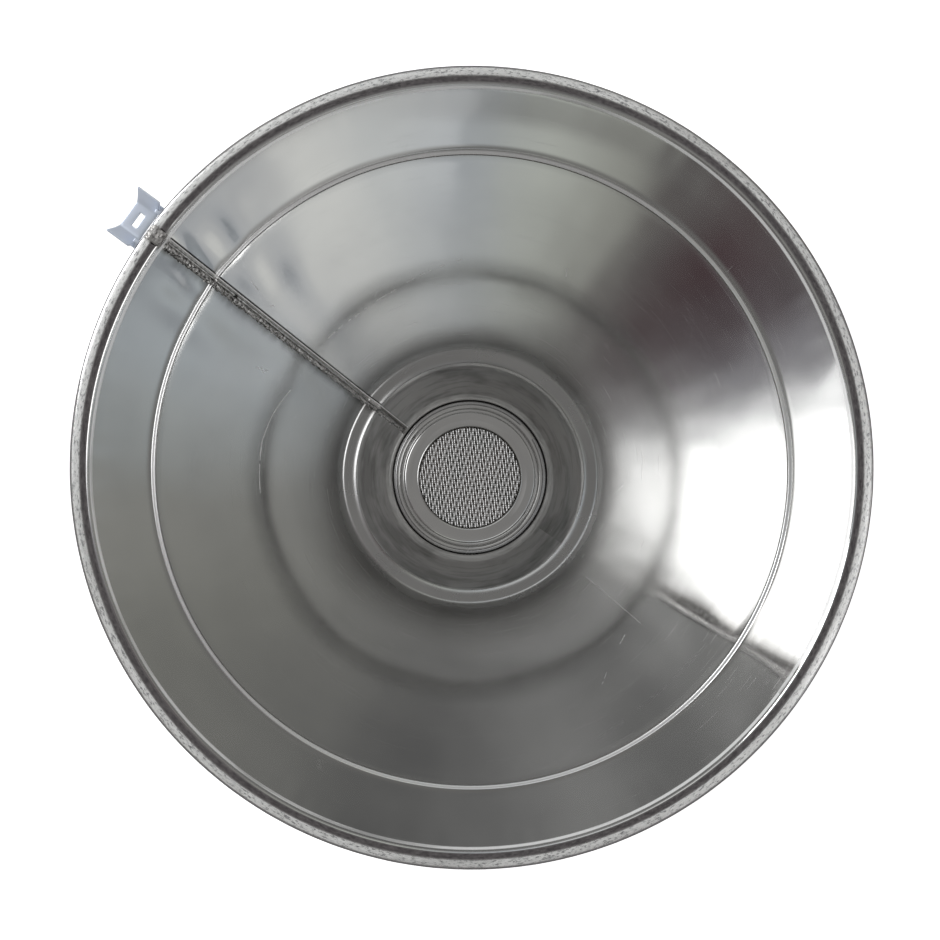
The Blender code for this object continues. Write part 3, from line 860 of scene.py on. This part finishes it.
def weld(name, path, node, seed, width=1.0, drops=0.55):
    """The rough bead: a lumpy bar along the seam, with drops and burrs at its side."""
    path = divided(path, 0.40 * MM)
    line = on_wall(path, 1.05 * MM, 0.20 * MM)
    rough = []
    radii = []
    for point in line:
        spot = point * 900
        sway = 0.28 * MM * noise.noise(spot * 0.6)
        rough.append(point + Vector((0, sway, 0)))
        radii.append(width * (1.0 + 0.45 * noise.noise(spot) + 0.25 * noise.noise(spot * 2.7)) * MM)
    points, faces = tube_parts(rough, radii, 14)
    for i, point in enumerate(points):
        points[i] = point + noise.noise_vector(point * 1900) * 0.20 * MM
    chance = random.Random(seed)
    for point in line[2:-2]:
        if chance.random() > drops:
            continue
        side = chance.uniform(0.4, 1.5) * MM
        size = chance.uniform(0.18, 0.42) * MM
        centre = point + Vector((0, side, chance.uniform(-0.1, 0.35) * MM))
        made, more = ball_parts(centre, size, len(points), chance.uniform(0.6, 1.0))
        points.extend(made)
        faces.extend(more)
    finish_piece(piece_from(name, points, faces, 60), "funnel", WELD, "weld_metal", node)


def seam():
    band = [
        (WALL_TOP[0] - 0.6 * MM / tan(BAND_SLOPE), WALL_TOP[1] - 0.6 * MM),
        *ridge_points(8)[:5],
    ]
    cone = [*ridge_points(8)[4:], tuple(Vector(RIDGE).lerp(Vector(SHOULDER), 0.99))]
    neck = [
        tuple(Vector(RIDGE).lerp(Vector(SHOULDER), 0.975)),
        *fillet(RIDGE, SHOULDER, LEDGE_END, 2.6 * MM, 5),
        (LEDGE_END[0], LEDGE_END[1]),
        (NECK_TOP[0] - 0.4 * MM, NECK_TOP[1] - 0.6 * MM),
        tuple(Vector(NECK_BOTTOM).lerp(Vector(NECK_TOP), 0.06)),
    ]
    stretches = (("band", band, 3, 1.35, 1.15), ("cone", cone, 5, 1.0, 1.0), ("neck", neck, 8, 0.9, 0.8))
    for place, path, seed, thicker, width in stretches:
        strip(f"lap_{place}", path, f"seam_strip_{place}", thicker)
        weld(f"weld_{place}", path, f"seam_weld_{place}", seed, width)


# Scratches and scuffs in the cone: degrees from the seam and height in mm along each, its half width, its gaps
MARKS = [
    ([(-7.2, 102.9), (-19.0, 102.2), (-30.8, 104.3), (-51.5, 113.7)], 0.13, 0.45),
    ([(11.3, 104.0), (19.5, 108.8), (27.5, 111.6), (41.7, 111.9)], 0.10, 0.05),
    ([(175.1, 75.6), (174.8, 120.8)], 0.07, 0.05),
    ([(-4.6, 153.0), (-4.1, 146.5)], 0.12, 0.2),
    ([(-3.2, 137.5), (-4.6, 134.5)], 0.16, 0.2),
    ([(9.0, 126.0), (10.6, 121.5)], 0.16, 0.5),
    ([(10.2, 126.5), (9.6, 120.5)], 0.14, 0.5),
    ([(-78.9, 121.0), (-79.6, 116.4)], 0.08, 0.1),
    ([(166.5, 121.5), (170.0, 119.0)], 0.08, 0.3),
    ([(158.0, 133.0), (160.5, 129.0)], 0.07, 0.3),
]


def cone_point(degrees, height, lift):
    angle = radians(degrees)
    share = (height - SHOULDER[1]) / (RIDGE[1] - SHOULDER[1])
    radius = SHOULDER[0] + (RIDGE[0] - SHOULDER[0]) * share
    radius, height = funnel_shift(angle, radius - lift, height)
    return Vector((AXIS_X + radius * cos(angle), AXIS_Y + radius * sin(angle), height))


def marks():
    """Scratches as hair-thin raised burrs, broken where the tool skipped."""
    points, faces = [], []
    chance = random.Random(11)
    for path, half_width, gaps in MARKS:
        for (a, b) in zip(path, path[1:]):
            run = (cone_point(a[0], a[1] * MM, 0) - cone_point(b[0], b[1] * MM, 0)).length
            steps = max(2, int(run / (1.5 * MM)))
            for i in range(steps):
                if chance.random() < gaps:
                    continue
                ends = []
                for share in (i / steps, (i + 0.5) / steps, (i + 1) / steps):
                    degrees = a[0] + (b[0] - a[0]) * share
                    height = (a[1] + (b[1] - a[1]) * share) * MM
                    ends.append(cone_point(degrees, height, 0.02 * MM))
                width = 1.7 * half_width * chance.uniform(0.6, 1.1) * MM
                made, more = tube_parts(ends, [width * 0.6, width, width * 0.6], 5, len(points))
                points.extend(made)
                faces.extend(more)
    finish_piece(piece_from("wall_marks", points, faces, 80), "funnel", BURR, "polished_steel")


def lumpy(name, node, body, centre, radii, seed):
    """A blob of solder with an uneven surface."""
    rows, sides = 24, 32
    points = [Vector((0, 0, 1))]
    for row in range(1, rows):
        polar = pi * row / rows
        for j in range(sides):
            angle = 2 * pi * j / sides
            points.append(Vector((cos(angle) * sin(polar), sin(angle) * sin(polar), cos(polar))))
    points.append(Vector((0, 0, -1)))
    shaped = []
    for p in points:
        swell = 1 + 0.22 * noise.noise(p * 2.4 + Vector((seed, 0, 0))) + 0.1 * noise.noise(p * 7)
        shaped.append(Vector(centre) + Vector((p.x * radii[0], p.y * radii[1], p.z * radii[2])) * swell)
    faces = []
    for j in range(sides):
        k = (j + 1) % sides
        faces.append((0, 1 + j, 1 + k))
        for row in range(rows - 2):
            a = 1 + row * sides
            faces.append((a + j, a + sides + j, a + sides + k, a + k))
        a = 1 + (rows - 2) * sides
        faces.append((a + j, len(points) - 1, a + k))
    finish_piece(piece_from(name, shaped, faces, 70), body, SOLDER, "weld_metal", node)


def rim_patch():
    """Rough solder over the joint in the rolled rim."""
    rows, columns = 40, 26
    points = []
    for side in (1, 0):
        for i in range(rows + 1):
            angle = radians(8) + radians(190) * i / rows
            for j in range(columns + 1):
                across = (j / columns - 0.5) * 6.2 * MM
                spot = Vector((angle * 3.0, across * 900, 2.0))
                edge = min(i, rows - i) / 5
                rim = min(j, columns - j) / 4
                swell = min(edge, rim, 1) ** 0.5
                lift = (0.20 + 0.26 * noise.noise(spot) + 0.12 * noise.noise(spot * 3)) * MM * swell
                radius = ROLL_RADIUS * 0.80 + (lift if side else -0.4 * MM)
                turn = across / RIM_RADIUS
                r = ROLL[0] - 0.2 * MM + radius * cos(angle)
                points.append((
                    AXIS_X + r * cos(turn),
                    AXIS_Y + r * sin(turn),
                    ROLL[1] - 0.1 * MM + radius * sin(angle),
                ))
    wide = columns + 1
    layer = (rows + 1) * wide
    faces = []
    for i in range(rows):
        for j in range(columns):
            a = i * wide + j
            faces.append((a, a + 1, a + wide + 1, a + wide))
            faces.append((layer + a, layer + a + wide, layer + a + wide + 1, layer + a + 1))
    border = [(i * wide, (i + 1) * wide) for i in range(rows)]
    border += [(rows * wide + j, rows * wide + j + 1) for j in range(columns)]
    border += [((i + 1) * wide - 1 + wide, (i + 1) * wide - 1) for i in range(rows)]
    border += [(j + 1, j) for j in range(columns)]
    for a, b in border:
        faces.append((a, b, layer + b, layer + a))
    finish_piece(piece_from("rim_patch", points, faces, 60), "funnel", SOLDER, "weld_metal", "rim_solder")


# The bracket


def bracket():
    """The slotted plate with its ends flared up, on two legs that reach under the rim."""
    low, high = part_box("hanger_bracket")
    outer = high[0]
    inner = outer - 10.2 * MM
    shift = (low[1] + high[1]) / 2
    level = 184.5 * MM
    flat, end, flare = 5.4 * MM, 10.0 * MM, 5.2 * MM
    slot_half = (1.15 * MM, 2.9 * MM)
    middle = (inner + outer) / 2
    along = [-end + i * (end - flat) / 8 for i in range(8)]
    along += [-flat, -4.0 * MM, -slot_half[1], -1.4 * MM, 0, 1.4 * MM, slot_half[1], 4.0 * MM, flat]
    along += [flat + (i + 1) * (end - flat) / 8 for i in range(8)]
    depth = [inner, inner + 1.6 * MM, middle - 2.4 * MM, middle - slot_half[0]]
    depth += [middle + slot_half[0], middle + 2.4 * MM, outer - 1.6 * MM, outer]
    points = []
    for y in along:
        beyond = max(abs(y) - flat, 0) / (end - flat)
        height = level + flare * beyond ** 1.35
        waist = 0.55 * MM * (1 - (abs(y) / end) ** 2)
        for x in depth:
            pull = (x - middle) / (outer - middle)
            points.append((x - waist * pull * abs(pull), y + shift, height))
    wide = len(depth)
    faces = []
    for i in range(len(along) - 1):
        for j in range(wide - 1):
            in_slot = abs(along[i] + along[i + 1]) / 2 < slot_half[1] and j == 3
            if in_slot:
                continue
            a = i * wide + j
            faces.append((a, a + wide, a + wide + 1, a + 1))
    plate = piece_from("bracket_plate", points, faces, 30)
    thicken(plate, SHEET, 0.22 * MM)
    finish_piece(plate, "funnel", PLATE, "polished_steel", "hanger_bracket")
    for side, sign in (("left", 1), ("right", -1)):
        bracket_leg(side, shift + sign * 7.8 * MM, inner, level + flare * 0.36)


def thicken(piece, thickness, bevel):
    solidify = piece.modifiers.new("Sheet", "SOLIDIFY")
    solidify.thickness = thickness
    solidify.offset = 0
    solidify.use_even_offset = True
    rounding = piece.modifiers.new("Edges", "BEVEL")
    rounding.width = bevel
    rounding.segments = 3
    rounding.limit_method = "ANGLE"
    rounding.angle_limit = radians(50)


def bracket_leg(side, middle, inner, height):
    foot_line = offset([WALL_TOP, RIDGE], -(SHEET * 1.5 + 0.1 * MM))
    foot_top = Vector(foot_line[0]).lerp(Vector(foot_line[1]), 0.30)
    foot_end = Vector(foot_line[0]).lerp(Vector(foot_line[1]), 0.62)
    root = (inner + 1.2 * MM - AXIS_X, height)
    knee = (inner - 1.0 * MM - AXIS_X, height - 0.2 * MM)
    path = [root, *fillet(root, knee, tuple(foot_top), 1.2 * MM, 6)]
    path += [*fillet(knee, tuple(foot_top), tuple(foot_end), 1.5 * MM, 6), tuple(foot_end)]
    points = []
    for radius, z in path:
        for step in (-0.5, -0.25, 0, 0.25, 0.5):
            points.append((AXIS_X + radius, middle + step * 3.4 * MM, z))
    faces = []
    for i in range(len(path) - 1):
        for j in range(4):
            a = i * 5 + j
            faces.append((a, a + 1, a + 6, a + 5))
    leg = piece_from(f"bracket_leg_{side}", points, faces, 30)
    thicken(leg, SHEET, 0.2 * MM)
    finish_piece(leg, "funnel", PLATE, "polished_steel")
    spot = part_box(f"bracket_weld_{side}")
    centre = [(spot[0][i] + spot[1][i]) / 2 for i in range(3)]
    lumpy(f"leg_weld_{side}", f"bracket_weld_{side}", "funnel", centre, (0.6 * MM, 1.2 * MM, 1.2 * MM), 4)


def collar_blob():
    low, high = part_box("collar_solder")
    centre = [(low[i] + high[i]) / 2 for i in range(3)]
    lumpy("collar_blob", "collar_solder", "funnel", centre, (0.9 * MM, 2.0 * MM, 1.0 * MM), 9)


# Studio

SEAM_IN_VIEW = radians(143.7)
CAMERA_ABOVE_RIM = 309 * MM


def in_view(right, up):
    """A point of the funnel's axis moved right and up as the camera sees it."""
    angle = -SEAM_IN_VIEW
    x = AXIS_X + right * cos(angle) - up * sin(angle)
    y = AXIS_Y + right * sin(angle) + up * cos(angle)
    return x, y


def camera():
    """Straight above the funnel, a little to the side of its axis, with the seam at the upper left."""
    data = bpy.data.cameras.new("camera")
    data.sensor_width = 36
    data.lens = 32.18
    data.shift_x = 0.0040
    data.shift_y = 0.0275
    data.clip_start = 0.01
    data.clip_end = 100
    camera_object = bpy.data.objects.new("camera", data)
    bpy.context.scene.collection.objects.link(camera_object)
    camera_object.location = (*in_view(-2.0 * MM, -10.5 * MM), RIM_TOP + CAMERA_ABOVE_RIM)
    camera_object.rotation_euler = (0, 0, -SEAM_IN_VIEW)
    bpy.context.scene.camera = camera_object


# Brightness of the studio's walls, by angle as the camera sees it, from -180 to 180 degrees
SURROUNDINGS = [
    (-180, (0.50, 0.53, 0.54)),
    (-165, (0.39, 0.39, 0.37)),
    (-145, (0.31, 0.31, 0.29)),
    (-120, (0.26, 0.26, 0.25)),
    (-104, (0.18, 0.18, 0.18)),
    (-90, (0.24, 0.24, 0.24)),
    (-76, (0.33, 0.33, 0.33)),
    (-62, (0.23, 0.23, 0.23)),
    (-48, (0.32, 0.32, 0.32)),
    (-39, (0.60, 0.60, 0.60)),
    (-32, (1.7, 1.7, 1.7)),
    (-20, (2.6, 2.6, 2.6)),
    (-4, (2.4, 2.4, 2.4)),
    (6, (0.95, 0.96, 0.99)),
    (15, (0.36, 0.35, 0.38)),
    (25, (0.13, 0.105, 0.115)),
    (38, (0.11, 0.075, 0.082)),
    (50, (0.17, 0.155, 0.155)),
    (61, (0.50, 0.51, 0.47)),
    (76, (0.72, 0.75, 0.70)),
    (92, (0.62, 0.66, 0.70)),
    (107, (0.66, 0.69, 0.70)),
    (122, (0.86, 0.87, 0.85)),
    (134, (0.55, 0.57, 0.59)),
    (148, (0.42, 0.45, 0.49)),
    (164, (0.60, 0.65, 0.69)),
]


# How much of that brightness is left at each height above the horizon, in degrees
HEIGHTS = [(0, 0.45), (12, 0.12), (28, 0.08), (38, 1.0), (50, 1.0), (55, 0.12), (90, 0.0)]


def world():
    """A soft studio: white and grey walls all round, seen by the metal, and a pale backdrop."""
    made = bpy.data.worlds.new("studio")
    bpy.context.scene.world = made
    made.use_nodes = True
    tree = made.node_tree
    tree.nodes.clear()

    def add(kind, **settings):
        node = tree.nodes.new(kind)
        for key, value in settings.items():
            setattr(node, key, value)
        return node

    direction = add("ShaderNodeTexCoord")
    parts = add("ShaderNodeSeparateXYZ")
    tree.links.new(direction.outputs["Generated"], parts.inputs[0])
    angle = add("ShaderNodeMath", operation="ARCTAN2")
    tree.links.new(parts.outputs["Y"], angle.inputs[0])
    tree.links.new(parts.outputs["X"], angle.inputs[1])
    turned_angle = add("ShaderNodeMath", operation="ADD")
    tree.links.new(angle.outputs[0], turned_angle.inputs[0])
    turned_angle.inputs[1].default_value = SEAM_IN_VIEW + pi
    share = add("ShaderNodeMath", operation="DIVIDE")
    tree.links.new(turned_angle.outputs[0], share.inputs[0])
    share.inputs[1].default_value = 2 * pi
    whole = add("ShaderNodeMath", operation="FRACT")
    tree.links.new(share.outputs[0], whole.inputs[0])
    ramp = add("ShaderNodeValToRGB")
    ramp.color_ramp.interpolation = "EASE"
    stops = SURROUNDINGS + [(180, SURROUNDINGS[0][1])]
    while len(ramp.color_ramp.elements) < len(stops):
        ramp.color_ramp.elements.new(0.5)
    for element, (degrees, colour) in zip(ramp.color_ramp.elements, stops):
        element.position = (degrees + 180) / 360
        element.color = (*colour, 1)
    tree.links.new(whole.outputs[0], ramp.inputs["Fac"])
    bands = add("ShaderNodeValToRGB")
    while len(bands.color_ramp.elements) < len(HEIGHTS):
        bands.color_ramp.elements.new(0.5)
    for element, (degrees, share_of_wall) in zip(bands.color_ramp.elements, HEIGHTS):
        element.position = max(sin(radians(degrees)), 0)
        element.color = (share_of_wall, share_of_wall, share_of_wall, 1)
    tree.links.new(parts.outputs["Z"], bands.inputs["Fac"])
    room = add("ShaderNodeMix", data_type="RGBA")
    room.inputs["A"].default_value = (0.25, 0.245, 0.24, 1)
    tree.links.new(bands.outputs["Color"], room.inputs["Factor"])
    tree.links.new(ramp.outputs["Color"], room.inputs["B"])
    seen = add("ShaderNodeBackground")
    tree.links.new(room.outputs["Result"], seen.inputs["Color"])
    backdrop = add("ShaderNodeBackground")
    backdrop.inputs["Color"].default_value = (1, 1, 1, 1)
    path = add("ShaderNodeLightPath")
    choice = add("ShaderNodeMixShader")
    tree.links.new(path.outputs["Is Camera Ray"], choice.inputs["Fac"])
    tree.links.new(seen.outputs[0], choice.inputs[1])
    tree.links.new(backdrop.outputs[0], choice.inputs[2])
    output = add("ShaderNodeOutputWorld")
    tree.links.new(choice.outputs[0], output.inputs["Surface"])


def floor():
    """White paper under the funnel. The metal sees it dimmer than the camera does, as in a tent."""
    mesh = bpy.data.meshes.new("floor")
    reach = 6.0
    mesh.from_pydata([(-reach, -reach, 0), (reach, -reach, 0), (reach, reach, 0), (-reach, reach, 0)], [], [(0, 1, 2, 3)])
    plane = bpy.data.objects.new("floor", mesh)
    bpy.context.scene.collection.objects.link(plane)
    plane.location.z = -0.2 * MM
    nodes = Nodes("floor_paper")
    nodes.shader.inputs["Base Color"].default_value = (0.9, 0.9, 0.9, 1)
    nodes.shader.inputs["Roughness"].default_value = 0.8
    nodes.shader.inputs["Emission Color"].default_value = (1, 1, 1, 1)
    nodes.shader.inputs["Emission Strength"].default_value = 0.75
    dim = nodes.add("ShaderNodeBsdfDiffuse")
    dim.inputs["Color"].default_value = (0.62, 0.62, 0.62, 1)
    path = nodes.add("ShaderNodeLightPath")
    choice = nodes.add("ShaderNodeMixShader")
    nodes.link(path.outputs["Is Camera Ray"], choice.inputs["Fac"])
    nodes.link(dim.outputs["BSDF"], choice.inputs[1])
    nodes.link(nodes.shader.outputs["BSDF"], choice.inputs[2])
    nodes.link(choice.outputs[0], nodes.tree.nodes["Material Output"].inputs["Surface"])
    mesh.materials.append(nodes.material)


def area_light(name, view_angle, elevation, distance, size, power):
    """A softbox that faces the funnel from an angle as the camera sees it."""
    data = bpy.data.lights.new(name, "AREA")
    data.size = size
    data.energy = power
    lamp = bpy.data.objects.new(name, data)
    bpy.context.scene.collection.objects.link(lamp)
    turn = radians(view_angle) - SEAM_IN_VIEW
    aim = Vector((AXIS_X, AXIS_Y, RIM_TOP / 2))
    spoke = Vector((cos(turn) * cos(elevation), sin(turn) * cos(elevation), sin(elevation)))
    lamp.location = aim + spoke * distance
    lamp.rotation_euler = spoke.to_track_quat("Z", "Y").to_euler()


def lights():
    area_light("key", 120, radians(46), 1.5, 0.9, 0.6)
    area_light("fill", -15, radians(45), 1.6, 0.8, 2.0)
    area_light("back", 150, radians(20), 1.5, 0.8, 12.0)


funnel_wall()
rim_core()
neck_wall()
seat_cup()
outlet_pipe()
fine_frame()
cloth("fine_cloth", "fine_sieve_mesh", "fine_sieve", FINE_WOVEN_LIGHTENED, (1.05 * MM, 1.3 * MM), (0.24 * MM, 0.13 * MM), radians(-143.7 - 3))
ring_like("fine_backing", "fine_sieve_backing", "fine_sieve", SATIN, "satin_steel")
ring_like("spacer", "spacer_ring", "spacer", SATIN, "satin_steel")
coarse_frame()
cloth("coarse_cloth", "coarse_sieve_mesh", "coarse_sieve", WOVEN, (1.6 * MM, 2.6 * MM), (0.37 * MM, 0.13 * MM), radians(-143.7 + 8))
ring_like("coarse_backing", "coarse_sieve_backing", "coarse_sieve", SATIN, "satin_steel")
spring()
seam()
marks()
rim_patch()
collar_blob()
bracket()

camera()
world()
floor()
lights()
bpy.context.scene.view_settings.view_transform = "Standard"
